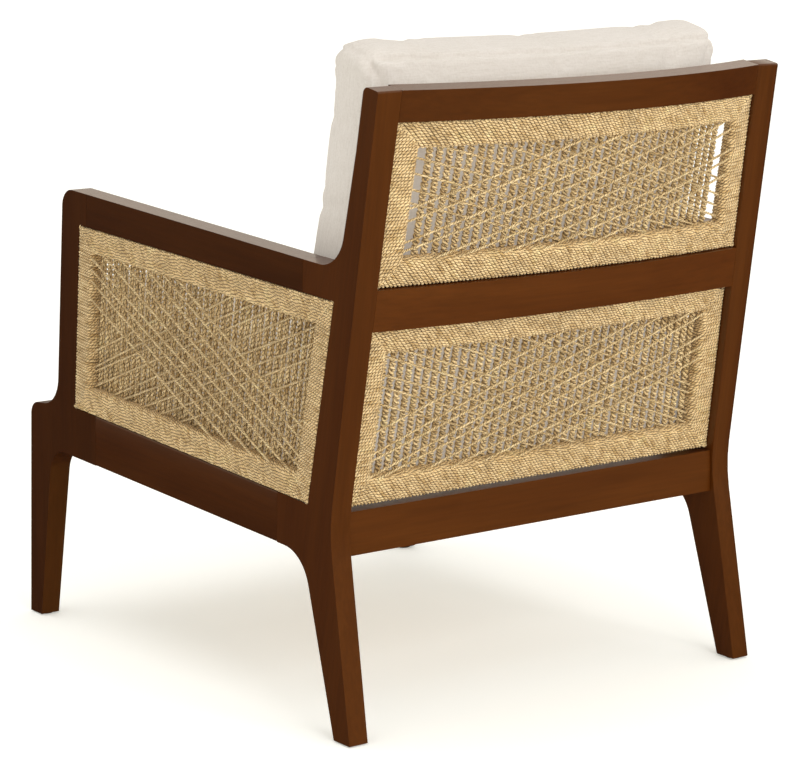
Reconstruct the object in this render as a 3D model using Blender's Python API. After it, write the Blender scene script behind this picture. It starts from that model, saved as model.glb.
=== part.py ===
"""Wooden armchair with cord-wound side and back panels and two loose cushions.

+Z is up, the chair faces -Y, the sitter's left is +X. The origin is on the floor
under the middle of the chair. The two side frames lean in a little towards the top,
and the back is bowed in plan, more at the crest than at the seat.
"""
import math

import bmesh
import bpy
from mathutils import Matrix, Vector

# overall
TOP_Z = 0.841               # back-top edge of the crest rail
HALF_WIDTH_TOP = 0.3325     # outer face of the side frames at the crest
LEAN = 0.0133               # how much further out that face stands at the floor
GAP = 0.0003                # play between touching pieces
EASE = 0.0020               # rounding of the wooden edges
ARC_STEP = math.radians(7)

# side frames
LEG_Z = 0.0018              # underside of the legs, just above the glides
POST_T = 0.0365             # back post at its top, side to side
POST_T_LOW = 0.030          # the same just above the leg's taper
POST_TOP_Z = 0.8465
FRONT_T = 0.033             # front leg, arm and side rail, side to side
FOOT_T = 0.029              # any leg at the floor
TAPER_Z = 0.250             # the legs narrow below this height
FOOT_FRONT_Y = -0.460       # front edge of the front foot
FRONT_FOOT_BACK_Y = -0.428
REAR_FOOT_FRONT_Y = 0.322
FOOT_BACK_Y = 0.357         # back edge of the rear foot
KNEE_Y = 0.309              # back edge of the rear leg where it changes rake
KNEE_Z = 0.2735
BACK_SLOPE = 0.1665         # rake of the back posts
BACK_HOLLOW = 0.001         # the posts' back edge is this much hollow
ARM_JOINT_FRONT_Y = -0.290
ARM_JOINT_REAR_Y = 0.2453
RAIL_JOINT_FRONT_Y = -0.270
RAIL_JOINT_REAR_Y = 0.190
BACK_EDGE_ZS = (0.40, 0.50, 0.60, 0.70, 0.78)
POST_TOP = (0.3735, POST_TOP_Z)
POST_FRONT_UPPER = (0.359, 0.766)
POST_FRONT_LOWER = (0.336, 0.665)
SHOULDER_REAR = (-0.3765, 0.3265)
SHOULDER_FRONT = (-0.4535, 0.3195)

# corners of the opening that holds a side panel, as (y, z)
OPENING_TOP_FRONT = (-0.311, 0.597)
OPENING_TOP_REAR = (0.314, 0.572)
OPENING_BOTTOM_FRONT = (-0.328, 0.330)
OPENING_BOTTOM_REAR = (0.260, 0.301)
ARM_FRONT = (-0.357, 0.6456)
ARM_REAR = (0.324, 0.6134)
RAIL_UNDER_FRONT = (-0.3945, 0.2605)
RAIL_UNDER_REAR = (0.250, 0.235)

# rounding of the side frames' corners, seen from the side
KNEE_R = 0.200
POST_BACK_R = 0.003
POST_TOP_R = 0.009
ARM_REAR_R = 0.050
ARM_FRONT_R = 0.026
RAIL_UNDER_REAR_R = 0.060
RAIL_UNDER_FRONT_R = 0.040
SHOULDER_REAR_R = 0.045
SHOULDER_FRONT_R = 0.020

# back
BOW_TOP = 0.058             # depth of the bow at the crest
BOW_START_Z = 0.262
BOW_POWER = 1.35
RAIL_DEPTH = 0.030          # crest, middle and rear seat rail, front to back
CREST_BOTTOM_Z = 0.801
MID_TOP_Z = 0.588
MID_BOTTOM_Z = 0.534
REAR_RAIL_BACK_Y = 0.3075
REAR_RAIL_TOP_Z = 0.2950
REAR_RAIL_BOTTOM_Z = 0.237
FRONT_RAIL_FRONT_Y = -0.448
FRONT_RAIL_DEPTH = 0.028
FRONT_RAIL_TOP_Z = 0.316
FRONT_RAIL_BOTTOM_Z = 0.256
BOW_STEPS = 14

# tenons
TENON_SCALE = 0.55
MORTISE_SCALE = 0.59
RAIL_TENON = 0.020
BOARD_TENON = 0.030
MORTISE_MOUTH = 0.001       # how far the mortise cutter stands out of the joint
TENON_STEP = 0.0001

# woven panels
MEMBER_W = 0.036            # width of a wound batten
PANEL_DEPTH = 0.024
CORD = 0.004                # thickness of the winding
MEMBER_R = 0.006
SIDE_PANEL_SET = -0.001     # the winding stands this far proud of the wood
LOWER_PANEL_SET = 0.012     # the back panels stand this far behind the face of the posts
UPPER_PANEL_SET = 0.005
PANEL_PLAY = 0.0010
MITRE_PLAY = 0.0006         # share of a winding's length left free at each mitre
WEB_T = 0.003
OUTER_WEB_SET = 0.003
INNER_WEB_SET = 0.018
PATH_STEPS = 12

# seat support
SEAT_FRONT_Y = -0.420
SEAT_Z = 0.3185             # top of the slats below the front edge of the cushion
SEAT_SLOPE = -0.0455
SLAT_COUNT = 7
SLAT_FIRST_Y = -0.330
SLAT_PITCH = 0.083
SLAT_W = 0.060
SLAT_T = 0.012
SLAT_HALF = 0.303
CLEAT_W = 0.018
CLEAT_H = 0.020
CLEAT_FRONT_Y = -0.340
CLEAT_REAR_Y = 0.186
CLEAT_OUTER_X = 0.3068
BLOCK_LEG = 0.062
BLOCK_H = 0.036
BLOCK_SHORT = 0.012
FRONT_BLOCK_Z = 0.262
REAR_BLOCK_Z = 0.245
BLOCK_X_FRONT = 0.3074
BLOCK_X_REAR = 0.3095

# cushions
SEAT_HALF_X = 0.298
SEAT_DEPTH = 0.688
SEAT_T = 0.165
SEAT_CROWN = 0.014
BACK_HALF_X = 0.288
BACK_H = 0.430
BACK_T = 0.100
BACK_CROWN = 0.018
BACK_RAKE = math.atan(0.237)
BACK_BASE_Y = 0.2035
BACK_BASE_Z = 0.4790
CUSHION_R = 0.044
CUSHION_CUTS = 9

# glides
GLIDE_R = 0.010
GLIDE_T = 0.0015
GLIDE_FRONT_Y = -0.4410
GLIDE_REAR_Y = 0.3410

WALNUT = (0.055, 0.020, 0.007, 1.0)
BEECH = (0.52, 0.36, 0.20, 1.0)
STRAW = (0.68, 0.49, 0.25, 1.0)
LINEN = (0.78, 0.72, 0.66, 1.0)
NYLON = (0.04, 0.04, 0.04, 1.0)


def clear_scene():
    for item in list(bpy.data.objects):
        bpy.data.objects.remove(item, do_unlink=True)


def new_collection(name):
    found = bpy.data.collections.new(name)
    bpy.context.scene.collection.children.link(found)
    return found


def material(name, colour, roughness, metallic=0.0):
    made = bpy.data.materials.new(name)
    made.use_nodes = True
    shader = made.node_tree.nodes["Principled BSDF"]
    shader.inputs["Base Color"].default_value = colour
    shader.inputs["Roughness"].default_value = roughness
    shader.inputs["Metallic"].default_value = metallic
    made.diffuse_color = colour
    return made


def walnut(name):
    return material(name + "_walnut", WALNUT, 0.38)


def beech(name):
    return material(name + "_beech", BEECH, 0.55)


def straw(name):
    return material(name + "_cord", STRAW, 0.75)


def linen(name):
    return material(name + "_linen", LINEN, 0.9)


def nylon(name):
    return material(name + "_nylon", NYLON, 0.6)


def place(name, bm, finish, smooth=False):
    """Turn finished geometry into a named object of the armchair."""
    bmesh.ops.recalc_face_normals(bm, faces=bm.faces[:])
    mesh = bpy.data.meshes.new(name)
    bm.to_mesh(mesh)
    bm.free()
    for face in mesh.polygons:
        face.use_smooth = smooth
    made = bpy.data.objects.new(name, mesh)
    made.data.materials.append(finish(name))
    chair.objects.link(made)
    return made


def outer_x(z):
    """Distance of a side frame's outer face from the middle plane."""
    return HALF_WIDTH_TOP + LEAN * (TOP_Z - z) / TOP_Z


def post_thickness(z):
    """Side-to-side thickness of a rear leg and its post."""
    if z < TAPER_Z:
        return FOOT_T + (POST_T_LOW - FOOT_T) * z / TAPER_Z
    return POST_T_LOW + (POST_T - POST_T_LOW) * (z - TAPER_Z) / (POST_TOP_Z - TAPER_Z)


def inner_x(z):
    """Distance of a back post's inner face from the middle plane."""
    return outer_x(z) - post_thickness(z)


def back_y(z):
    """Back edge of the back post above the knee."""
    t = (z - KNEE_Z) / (TOP_Z - KNEE_Z)
    hollow = BACK_HOLLOW * 4.0 * t * (1.0 - t)
    return KNEE_Y + BACK_SLOPE * (z - KNEE_Z) - hollow


def bow(z):
    rise = max(0.0, (z - BOW_START_Z) / (TOP_Z - BOW_START_Z))
    return BOW_TOP * rise ** BOW_POWER


def back_point(x, z, depth):
    """Point of the bowed back: depth is measured forward from its rear surface."""
    tilt = math.atan(BACK_SLOPE)
    across = x / inner_x(z)
    y = back_y(z) + bow(z) * (1.0 - across * across)
    return Vector((x, y - depth * math.cos(tilt), z + depth * math.sin(tilt)))


def on_line(start, end, y):
    """Height at y of the line through two (y, z) points."""
    return start[1] + (end[1] - start[1]) * (y - start[0]) / (end[0] - start[0])


def rounded_outline(corners):
    """Closed outline through (y, z, radius) corners, each rounded by its radius."""
    outline = []
    count = len(corners)
    for i, (y, z, radius) in enumerate(corners):
        here = Vector((y, z))
        if radius == 0.0:
            outline.append(here)
            continue
        back = (Vector(corners[i - 1][:2]) - here).normalized()
        ahead = (Vector(corners[(i + 1) % count][:2]) - here).normalized()
        half = back.angle(ahead) / 2.0
        centre = here + (back + ahead).normalized() * radius / math.sin(half)
        start = here + back * radius / math.tan(half) - centre
        end = here + ahead * radius / math.tan(half) - centre
        turn = math.pi - 2.0 * half
        steps = max(2, math.ceil(turn / ARC_STEP))
        for k in range(steps + 1):
            a = math.sin(turn * (1.0 - k / steps)) / math.sin(turn)
            b = math.sin(turn * k / steps) / math.sin(turn)
            outline.append(centre + start * a + end * b)
    return outline


def ease_edges(bm, keep_sharp):
    """Round the sharp edges, apart from those the keep_sharp test names."""
    edges = []
    for edge in bm.edges:
        if len(edge.link_faces) != 2 or keep_sharp(edge):
            continue
        if edge.calc_face_angle_signed() > math.radians(38):
            edges.append(edge)
    bmesh.ops.bevel(
        bm, geom=edges, offset=EASE, offset_type="OFFSET", segments=2,
        profile=0.5, affect="EDGES", clamp_overlap=False)


def end_face(bm, test):
    """The one face whose corners all pass the test."""
    found = [f for f in bm.faces if all(test(v.co) for v in f.verts)]
    return max(found, key=lambda f: f.calc_area())


def add_tenon(bm, test, along, length, mortised):
    """Grow a tenon from an end face and cut its mortise in the piece it enters."""
    face = end_face(bm, test)
    centre = face.calc_center_median_weighted()
    rim = [v.co.copy() for v in face.verts]
    bmesh.ops.inset_individual(bm, faces=[face], thickness=TENON_STEP)
    for v in face.verts:
        v.co = centre + (v.co - centre) * TENON_SCALE
    grown = bmesh.ops.extrude_discrete_faces(bm, faces=[face])["faces"][0]
    for v in grown.verts:
        v.co += along * length
    cut = bmesh.new()
    start = centre - along * MORTISE_MOUTH
    base = [cut.verts.new(start + (p - centre) * MORTISE_SCALE) for p in rim]
    floor = cut.faces.new(base)
    deep = bmesh.ops.extrude_face_region(cut, geom=[floor])["geom"]
    reach = along * (MORTISE_MOUTH + length + 2.0 * GAP)
    for v in [g for g in deep if isinstance(g, bmesh.types.BMVert)]:
        v.co += reach
    bmesh.ops.recalc_face_normals(cut, faces=cut.faces[:])
    name = "mortise_%02d" % len(cutters.objects)
    mesh = bpy.data.meshes.new(name)
    cut.to_mesh(mesh)
    cut.free()
    cutter = bpy.data.objects.new(name, mesh)
    cutter.hide_render = True
    cutter.display_type = "WIRE"
    cutters.objects.link(cutter)
    change = mortised.modifiers.new(name, "BOOLEAN")
    change.operation = "DIFFERENCE"
    change.solver = "EXACT"
    change.object = cutter


def front_thickness(z):
    """Side-to-side thickness of a front leg, an arm or a side rail."""
    narrow = max(0.0, (TAPER_Z - z) / TAPER_Z)
    return FRONT_T + (FOOT_T - FRONT_T) * narrow


def side_board(corners, side, thickness, joints_y):
    """A board of a side frame: its outline across the frame's thickness."""
    bm = bmesh.new()
    rim = [bm.verts.new((0.0, p.x, p.y)) for p in rounded_outline(corners)]
    face = bm.faces.new(rim)
    grown = bmesh.ops.extrude_face_region(bm, geom=[face])["geom"]
    for v in [g for g in grown if isinstance(g, bmesh.types.BMVert)]:
        v.co.x = 1.0
    everything = bm.verts[:] + bm.edges[:] + bm.faces[:]
    bmesh.ops.bisect_plane(bm, geom=everything, plane_co=(0, 0, TAPER_Z), plane_no=(0, 0, 1))
    for v in bm.verts:
        v.co.x = side * (outer_x(v.co.z) - thickness(v.co.z) * v.co.x)
    bmesh.ops.recalc_face_normals(bm, faces=bm.faces[:])

    def at_joint(edge):
        return any(
            all(abs(v.co.y - y) < 1e-6 for v in edge.verts) for y in joints_y)

    ease_edges(bm, at_joint)
    return bm


def on_y(y):
    return lambda co: abs(co.y - y) < 1e-5


def rear_leg(side, name):
    stub_under = on_line(OPENING_TOP_FRONT, OPENING_TOP_REAR, ARM_JOINT_REAR_Y)
    stub_top = on_line(ARM_FRONT, ARM_REAR, ARM_JOINT_REAR_Y)
    rail_top = on_line(OPENING_BOTTOM_FRONT, OPENING_BOTTOM_REAR, RAIL_JOINT_REAR_Y)
    rail_under = on_line(RAIL_UNDER_FRONT, RAIL_UNDER_REAR, RAIL_JOINT_REAR_Y)
    corners = [
        (REAR_FOOT_FRONT_Y, LEG_Z, 0.0),
        (FOOT_BACK_Y, LEG_Z, 0.0),
        (KNEE_Y, KNEE_Z, KNEE_R),
    ]
    corners += [(back_y(z), z, 0.0) for z in BACK_EDGE_ZS]
    corners += [
        (back_y(TOP_Z), TOP_Z, POST_BACK_R),
        (*POST_TOP, POST_TOP_R),
        (*POST_FRONT_UPPER, 0.0),
        (*POST_FRONT_LOWER, 0.0),
        (*ARM_REAR, ARM_REAR_R),
        (ARM_JOINT_REAR_Y, stub_top, 0.0),
        (ARM_JOINT_REAR_Y, stub_under, 0.0),
        (*OPENING_TOP_REAR, 0.0),
        (*OPENING_BOTTOM_REAR, 0.0),
        (RAIL_JOINT_REAR_Y, rail_top, 0.0),
        (RAIL_JOINT_REAR_Y, rail_under, 0.0),
        (*RAIL_UNDER_REAR, RAIL_UNDER_REAR_R),
    ]
    joints = (ARM_JOINT_REAR_Y, RAIL_JOINT_REAR_Y)
    bm = side_board(corners, side, post_thickness, joints)
    return place(name, bm, walnut)


def front_leg(side, name):
    stub_under = on_line(OPENING_TOP_FRONT, OPENING_TOP_REAR, ARM_JOINT_FRONT_Y)
    stub_top = on_line(ARM_FRONT, ARM_REAR, ARM_JOINT_FRONT_Y)
    rail_top = on_line(OPENING_BOTTOM_FRONT, OPENING_BOTTOM_REAR, RAIL_JOINT_FRONT_Y)
    rail_under = on_line(RAIL_UNDER_FRONT, RAIL_UNDER_REAR, RAIL_JOINT_FRONT_Y)
    corners = [
        (FOOT_FRONT_Y, LEG_Z, 0.0),
        (FRONT_FOOT_BACK_Y, LEG_Z, 0.0),
        (*RAIL_UNDER_FRONT, RAIL_UNDER_FRONT_R),
        (RAIL_JOINT_FRONT_Y, rail_under, 0.0),
        (RAIL_JOINT_FRONT_Y, rail_top, 0.0),
        (*OPENING_BOTTOM_FRONT, 0.0),
        (*OPENING_TOP_FRONT, 0.0),
        (ARM_JOINT_FRONT_Y, stub_under, 0.0),
        (ARM_JOINT_FRONT_Y, stub_top, 0.0),
        (*ARM_FRONT, ARM_FRONT_R),
        (*SHOULDER_REAR, SHOULDER_REAR_R),
        (*SHOULDER_FRONT, SHOULDER_FRONT_R),
    ]
    joints = (ARM_JOINT_FRONT_Y, RAIL_JOINT_FRONT_Y)
    bm = side_board(corners, side, front_thickness, joints)
    return place(name, bm, walnut)


def straight_board(top, under, joints, side, name, legs):
    """An arm or side rail: a board between the front and the rear leg."""
    front_y = joints[0] + GAP
    rear_y = joints[1] - GAP
    corners = [
        (front_y, on_line(*under, front_y), 0.0),
        (rear_y, on_line(*under, rear_y), 0.0),
        (rear_y, on_line(*top, rear_y), 0.0),
        (front_y, on_line(*top, front_y), 0.0),
    ]
    bm = side_board(corners, side, front_thickness, (front_y, rear_y))
    add_tenon(bm, on_y(front_y), Vector((0, -1, 0)), BOARD_TENON, legs[0])
    add_tenon(bm, on_y(rear_y), Vector((0, 1, 0)), BOARD_TENON, legs[1])
    return place(name, bm, walnut)


def cross_rail(name, shape, steps, posts, half_at):
    """A rail from side to side; shape(x, across, deep) gives its surface."""
    bm = bmesh.new()
    bmesh.ops.create_cube(bm, size=2.0)
    for k in range(1, steps):
        everything = bm.verts[:] + bm.edges[:] + bm.faces[:]
        at = -1.0 + 2.0 * k / steps
        bmesh.ops.bisect_plane(bm, geom=everything, plane_co=(at, 0, 0), plane_no=(1, 0, 0))
    ends = {v: round(v.co.x) for v in bm.verts if abs(abs(v.co.x) - 1.0) < 1e-6}
    for v in bm.verts:
        v.co = shape(v.co.x, (v.co.z + 1.0) / 2.0, (v.co.y + 1.0) / 2.0)
    bmesh.ops.recalc_face_normals(bm, faces=bm.faces[:])
    ease_edges(bm, lambda edge: all(v in ends for v in edge.verts))
    for sign, post in zip((1, -1), posts):
        def at_end(co, sign=sign):
            return sign * co.x > half_at(co.z) - 1e-4
        add_tenon(bm, at_end, Vector((sign, 0, 0)), RAIL_TENON, post)
    return place(name, bm, walnut)


def back_rail(name, bottom_z, top_z, posts):
    def half_at(z):
        return inner_x(z) - GAP

    def shape(across, up, deep):
        z = bottom_z + (top_z - bottom_z) * up
        point = back_point(across * half_at(z), z, RAIL_DEPTH * deep)
        point.x = across * half_at(point.z)
        return point

    return cross_rail(name, shape, BOW_STEPS, posts, half_at)


def seat_rail(name, back_face_y, depth, bottom_z, top_z, thickness, posts):
    def half_at(z):
        return outer_x(z) - thickness(z) - GAP

    def shape(across, up, deep):
        z = bottom_z + (top_z - bottom_z) * up
        return Vector((across * half_at(z), back_face_y - depth * deep, z))

    return cross_rail(name, shape, 1, posts, half_at)


def make_frame():
    legs = {}
    for side, word in ((1, "left"), (-1, "right")):
        front = front_leg(side, "front_leg_" + word)
        rear = rear_leg(side, "rear_leg_" + word)
        legs[word] = (front, rear)
        straight_board(
            (ARM_FRONT, ARM_REAR), (OPENING_TOP_FRONT, OPENING_TOP_REAR),
            (ARM_JOINT_FRONT_Y, ARM_JOINT_REAR_Y), side, "arm_" + word, (front, rear))
        straight_board(
            (OPENING_BOTTOM_FRONT, OPENING_BOTTOM_REAR), (RAIL_UNDER_FRONT, RAIL_UNDER_REAR),
            (RAIL_JOINT_FRONT_Y, RAIL_JOINT_REAR_Y), side, "side_rail_" + word, (front, rear))
    fronts = (legs["left"][0], legs["right"][0])
    rears = (legs["left"][1], legs["right"][1])
    back_rail("crest_rail", CREST_BOTTOM_Z, TOP_Z, rears)
    back_rail("mid_rail", MID_BOTTOM_Z, MID_TOP_Z, rears)
    seat_rail(
        "rear_seat_rail", REAR_RAIL_BACK_Y, RAIL_DEPTH,
        REAR_RAIL_BOTTOM_Z, REAR_RAIL_TOP_Z, post_thickness, rears)
    seat_rail(
        "front_seat_rail", FRONT_RAIL_FRONT_Y + FRONT_RAIL_DEPTH, FRONT_RAIL_DEPTH,
        FRONT_RAIL_BOTTOM_Z, FRONT_RAIL_TOP_Z, front_thickness, fronts)


def mix(a, b, t):
    return (a[0] + (b[0] - a[0]) * t, a[1] + (b[1] - a[1]) * t)


def shrink(quad, width):
    """Inset a four-cornered outline by an even width."""
    inset = []
    for i, corner in enumerate(quad):
        here = Vector(corner)
        back = (Vector(quad[i - 1]) - here).normalized()
        ahead = (Vector(quad[(i + 1) % 4]) - here).normalized()
        reach = width / math.sin(back.angle(ahead))
        inset.append(tuple(here + (back + ahead) * reach))
    return inset


def side_opening():
    """Side-panel corners as (y, z): bottom front, bottom rear, top rear, top front."""
    quad = [OPENING_BOTTOM_FRONT, OPENING_BOTTOM_REAR, OPENING_TOP_REAR, OPENING_TOP_FRONT]
    return shrink(quad, PANEL_PLAY)


def back_opening(bottom_z, top_z):
    """Back-panel corners as (x, z): bottom right, bottom left, top left, top right."""
    low = inner_x(bottom_z)
    high = inner_x(top_z)
    quad = [(-low, bottom_z), (low, bottom_z), (high, top_z), (-high, top_z)]
    return shrink(quad, PANEL_PLAY)


def side_surface(side):
    def at(flat, depth):
        y, z = flat
        return Vector((side * (outer_x(z) - SIDE_PANEL_SET - depth), y, z))
    return at


def back_surface(setback):
    def at(flat, depth):
        x, z = flat
        point = back_point(x, z, setback + depth)
        point.x = x * inner_x(point.z) / inner_x(z)
        return point
    return at


def member_section(inset):
    """Rounded section of a wound batten as (across, deep), both from 0 to 1."""
    radius = MEMBER_R - inset
    width = MEMBER_W - 2.0 * inset
    depth = PANEL_DEPTH - 2.0 * inset
    points = []
    corners = ((0, 0, 180), (1, 0, 270), (1, 1, 0), (0, 1, 90))
    for right, up, start in corners:
        centre_a = inset + (width - radius if right else radius)
        centre_d = inset + (depth - radius if up else radius)
        for k in range(4):
            angle = math.radians(start + 30 * k)
            a = centre_a + radius * math.cos(angle)
            d = centre_d + radius * math.sin(angle)
            points.append((a / MEMBER_W, d))
    return points


def sweep(bm, rings, closed):
    """Skin a row of equal rings of points with quads."""
    rows = [[bm.verts.new(p) for p in ring] for ring in rings]
    count = len(rows[0])
    pairs = list(zip(rows, rows[1:]))
    if closed:
        pairs.append((rows[-1], rows[0]))
    for low, high in pairs:
        for i in range(count):
            j = (i + 1) % count
            bm.faces.new((low[i], low[j], high[j], high[i]))
    return rows


def member_ring(at, outer, inner, i, t, section):
    """One ring of a batten's skin at t along side i of the panel."""
    edge_out = mix(outer[i], outer[(i + 1) % 4], t)
    edge_in = mix(inner[i], inner[(i + 1) % 4], t)
    return [at(mix(edge_out, edge_in, a), d) for a, d in section]


def cord_binding(name, at, outer, inner, i):
    """Cord wound round one batten: an open tube with mitred ends."""
    bm = bmesh.new()
    skin = member_section(0.0)
    lining = member_section(CORD)
    length = 1.0 - 2.0 * MITRE_PLAY
    steps = [MITRE_PLAY + length * k / PATH_STEPS for k in range(PATH_STEPS + 1)]
    outside = sweep(bm, [member_ring(at, outer, inner, i, t, skin) for t in steps], False)
    inside = sweep(bm, [member_ring(at, outer, inner, i, t, lining) for t in steps], False)
    count = len(skin)
    for end in (0, -1):
        for k in range(count):
            j = (k + 1) % count
            bm.faces.new((outside[end][k], outside[end][j], inside[end][j], inside[end][k]))
    return place(name, bm, straw, smooth=True)


def batten_frame(name, at, outer, inner):
    """The four battens inside the winding, glued up as one frame."""
    bm = bmesh.new()
    section = member_section(CORD + GAP)
    rings = []
    for i in range(4):
        for k in range(PATH_STEPS):
            rings.append(member_ring(at, outer, inner, i, k / PATH_STEPS, section))
    sweep(bm, rings, True)
    return place(name, bm, beech)


def web(name, at, inner, depth):
    """A layer of stretched cords as one thin sheet across the opening."""
    quad = shrink(inner, PANEL_PLAY)
    bm = bmesh.new()
    rings = []
    for k in range(PATH_STEPS + 1):
        low = mix(quad[0], quad[1], k / PATH_STEPS)
        high = mix(quad[3], quad[2], k / PATH_STEPS)
        near = [at(mix(low, high, t / 3.0), depth) for t in range(4)]
        far = [at(mix(low, high, t / 3.0), depth + WEB_T) for t in range(3, -1, -1)]
        rings.append(near + far)
    rows = sweep(bm, rings, False)
    for row in (rows[0], rows[-1]):
        bm.faces.new(row)
    return place(name, bm, straw, smooth=False)


def woven_panel(name, at, outer, names):
    inner = shrink(outer, MEMBER_W)
    for i, word in enumerate(names):
        cord_binding(name + "_binding_" + word, at, outer, inner, i)
    batten_frame(name + "_batten_frame", at, outer, inner)
    web(name + "_diagonal_web", at, inner, OUTER_WEB_SET)
    web(name + "_upright_web", at, inner, INNER_WEB_SET)


def make_panels():
    for side, word in ((1, "left"), (-1, "right")):
        woven_panel(
            word + "_panel", side_surface(side), side_opening(),
            ("bottom", "rear", "top", "front"))
    across = ("bottom", "left", "top", "right")
    woven_panel(
        "lower_back_panel", back_surface(LOWER_PANEL_SET),
        back_opening(REAR_RAIL_TOP_Z + PANEL_PLAY, MID_BOTTOM_Z), across)
    woven_panel(
        "upper_back_panel", back_surface(UPPER_PANEL_SET),
        back_opening(MID_TOP_Z, CREST_BOTTOM_Z), across)


def box(size):
    bm = bmesh.new()
    bmesh.ops.create_cube(bm, size=1.0, matrix=Matrix.Diagonal((*size, 1.0)))
    return bm


def seat_z(y):
    """Height of the slats' upper face."""
    return SEAT_Z + SEAT_SLOPE * (y - SEAT_FRONT_Y)


def corner_block(name, side, corner_x, corner_y, towards, z):
    """A block across the inner corner of two seat rails."""
    bm = bmesh.new()
    plan = [
        (corner_x, corner_y),
        (corner_x - BLOCK_LEG, corner_y),
        (corner_x - BLOCK_LEG, corner_y + towards * BLOCK_SHORT),
        (corner_x - BLOCK_SHORT, corner_y + towards * BLOCK_LEG),
        (corner_x, corner_y + towards * BLOCK_LEG),
    ]
    face = bm.faces.new([bm.verts.new((side * x, y, z)) for x, y in plan])
    grown = bmesh.ops.extrude_face_region(bm, geom=[face])["geom"]
    for v in [g for g in grown if isinstance(g, bmesh.types.BMVert)]:
        v.co.z += BLOCK_H
    return place(name, bm, beech)


def make_seat_support():
    for side, word in ((1, "left"), (-1, "right")):
        corner_block(
            "corner_block_front_" + word, side, BLOCK_X_FRONT,
            FRONT_RAIL_FRONT_Y + FRONT_RAIL_DEPTH + GAP, 1, FRONT_BLOCK_Z)
        corner_block(
            "corner_block_rear_" + word, side, BLOCK_X_REAR,
            REAR_RAIL_BACK_Y - RAIL_DEPTH - GAP, -1, REAR_BLOCK_Z)
        length = CLEAT_REAR_Y - CLEAT_FRONT_Y
        cleat = place("slat_cleat_" + word, box((CLEAT_W, length, CLEAT_H)), beech)
        middle = (CLEAT_FRONT_Y + CLEAT_REAR_Y) / 2.0
        drop = SLAT_T + GAP + CLEAT_H / 2.0
        cleat.location = (
            side * (CLEAT_OUTER_X - CLEAT_W / 2.0), middle, seat_z(middle) - drop)
        cleat.rotation_euler.x = math.atan(SEAT_SLOPE)
    for k in range(SLAT_COUNT):
        y = SLAT_FIRST_Y + SLAT_PITCH * k
        size = (2.0 * SLAT_HALF, SLAT_W, SLAT_T)
        slat = place("seat_slat_%d" % (k + 1), box(size), beech)
        slat.location = (0.0, y, seat_z(y) - SLAT_T / 2.0)
        slat.rotation_euler.x = math.atan(SEAT_SLOPE)


def cushion(name, half_x, half_y, half_z, crown):
    """Soft box: rounded edges, faces swelling towards their middle."""
    bm = box((2.0 * half_x, 2.0 * half_y, 2.0 * half_z))
    bmesh.ops.bevel(
        bm, geom=bm.edges[:], offset=CUSHION_R, offset_type="OFFSET", segments=4,
        profile=0.5, affect="EDGES", clamp_overlap=False)
    for axis, half in enumerate((half_x, half_y, half_z)):
        if half < 2.0 * CUSHION_R:
            continue
        normal = Vector((0.0, 0.0, 0.0))
        normal[axis] = 1.0
        flat = half - CUSHION_R
        for k in range(1, CUSHION_CUTS):
            everything = bm.verts[:] + bm.edges[:] + bm.faces[:]
            at = normal * (flat * (2.0 * k / CUSHION_CUTS - 1.0))
            bmesh.ops.bisect_plane(bm, geom=everything, plane_co=at, plane_no=normal)
    halves = (half_x, half_y, half_z)
    thin = min(range(3), key=lambda axis: halves[axis])
    wide = [axis for axis in range(3) if axis != thin]
    for v in bm.verts:
        swell = 1.0
        for axis in wide:
            swell *= max(0.0, 1.0 - (v.co[axis] / halves[axis]) ** 2)
        v.co[thin] += crown * swell * v.co[thin] / halves[thin]
    return place(name, bm, linen, smooth=True)


def make_cushions():
    seat = cushion("seat_cushion", SEAT_HALF_X, SEAT_DEPTH / 2.0, SEAT_T / 2.0, SEAT_CROWN)
    middle = SEAT_FRONT_Y + SEAT_DEPTH / 2.0
    lift = SEAT_T / 2.0 + SEAT_CROWN + 2.0 * GAP
    seat.location = (0.0, middle, seat_z(middle) + lift)
    seat.rotation_euler.x = math.atan(SEAT_SLOPE)
    back = cushion("back_cushion", BACK_HALF_X, BACK_T / 2.0, BACK_H / 2.0, BACK_CROWN)
    rise = BACK_H / 2.0
    back.location = (
        0.0, BACK_BASE_Y + rise * math.sin(BACK_RAKE), BACK_BASE_Z + rise * math.cos(BACK_RAKE))
    back.rotation_euler.x = -BACK_RAKE


def make_glides():
    x = outer_x(0.0) - FOOT_T / 2.0
    spots = (("front", GLIDE_FRONT_Y), ("rear", GLIDE_REAR_Y))
    for side, word in ((1, "left"), (-1, "right")):
        for which, y in spots:
            bm = bmesh.new()
            bmesh.ops.create_cone(
                bm, cap_ends=True, segments=32, radius1=GLIDE_R, radius2=GLIDE_R,
                depth=GLIDE_T)
            glide = place("foot_glide_%s_%s" % (which, word), bm, nylon)
            glide.location = (side * x, y, GLIDE_T / 2.0)


clear_scene()
chair = new_collection("armchair")
cutters = new_collection("cutters")
make_frame()
make_panels()
make_seat_support()
make_cushions()
make_glides()
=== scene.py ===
import math
import random

import bmesh
import bpy
import numpy as np
from mathutils import Matrix, Vector


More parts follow.
